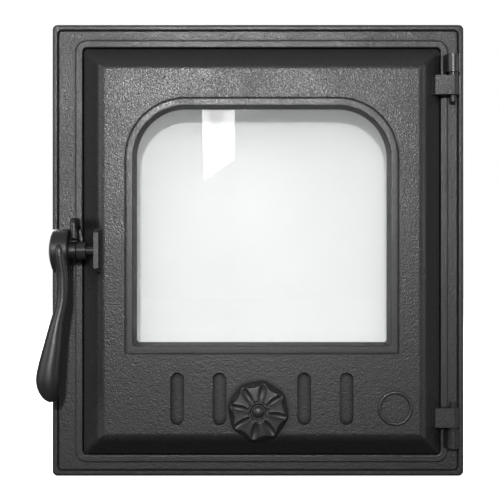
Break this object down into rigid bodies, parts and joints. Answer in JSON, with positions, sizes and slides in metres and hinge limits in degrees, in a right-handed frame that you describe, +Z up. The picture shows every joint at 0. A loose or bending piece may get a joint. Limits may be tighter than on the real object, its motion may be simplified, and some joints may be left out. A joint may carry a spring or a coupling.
{
  "type": "glass stove door",
  "caption": "Cast stove door: flanged frame, hinged leaf with arched fire window, lift latch lever and a sliding air damper with a rosette knob.",
  "frame": {"origin": "middle of the flange's outline, on the plane of its back face", "axes": "+X to the right as seen from the room, +Y into the masonry, +Z up"},
  "size_m": [0.418, 0.0884, 0.4516],
  "materials": {
    "frame_iron": "black heat paint on sand cast iron",
    "leaf_iron": "black heat paint on sand cast iron",
    "knob_iron": "black heat paint on sand cast iron",
    "handle_iron": "black heat paint, slightly smoother",
    "damper_iron": "black heat paint on rolled plate",
    "pin_steel": "turned, then blackened with the castings",
    "sheet_steel": "rolled sheet",
    "screw_steel": "plated",
    "fire_glass": "clear glass ceramic",
    "rope": "knitted glass fibre",
    "tape": "woven glass fibre, graphite grey"
  },
  "bodies": {
    "frame": {"frame": "frame_iron", "upper_hinge_pin": "pin_steel", "lower_hinge_pin": "pin_steel"},
    "leaf": {"door_leaf": "leaf_iron", "door_rope_seal": "rope", "window_glass": "fire_glass", "glass_seal_tape": "tape", "glass_clip_1": "sheet_steel", "glass_clip_2": "sheet_steel", "glass_clip_3": "sheet_steel", "glass_clip_4": "sheet_steel", "clip_screws": "screw_steel", "damper_guide_upper": "sheet_steel", "damper_guide_lower": "sheet_steel", "guide_screws": "screw_steel", "latch_spindle": "pin_steel"},
    "handle": {"latch_handle": "handle_iron", "hub_set_screw": "screw_steel"},
    "damper": {"damper_plate": "damper_iron", "damper_bolt": "screw_steel", "damper_washer": "screw_steel", "damper_spacer": "pin_steel", "rosette_knob": "knob_iron"}
  },
  "joints": [
    {"name": "door_swing", "type": "hinge", "parent": "frame", "child": "leaf", "pos_m": [0.1934, -0.0165, 0], "axis": [0, 0, 1], "range_deg": [0, 150]},
    {"name": "latch_turn", "type": "hinge", "parent": "leaf", "child": "handle", "pos_m": [-0.19, -0.038, -0.0002], "axis": [-1, 0, 0], "range_deg": [0, 90]},
    {"name": "damper_slide", "type": "slide", "parent": "leaf", "child": "damper", "axis": [1, 0, 0], "range_m": [0, 0.016]}
  ]
}
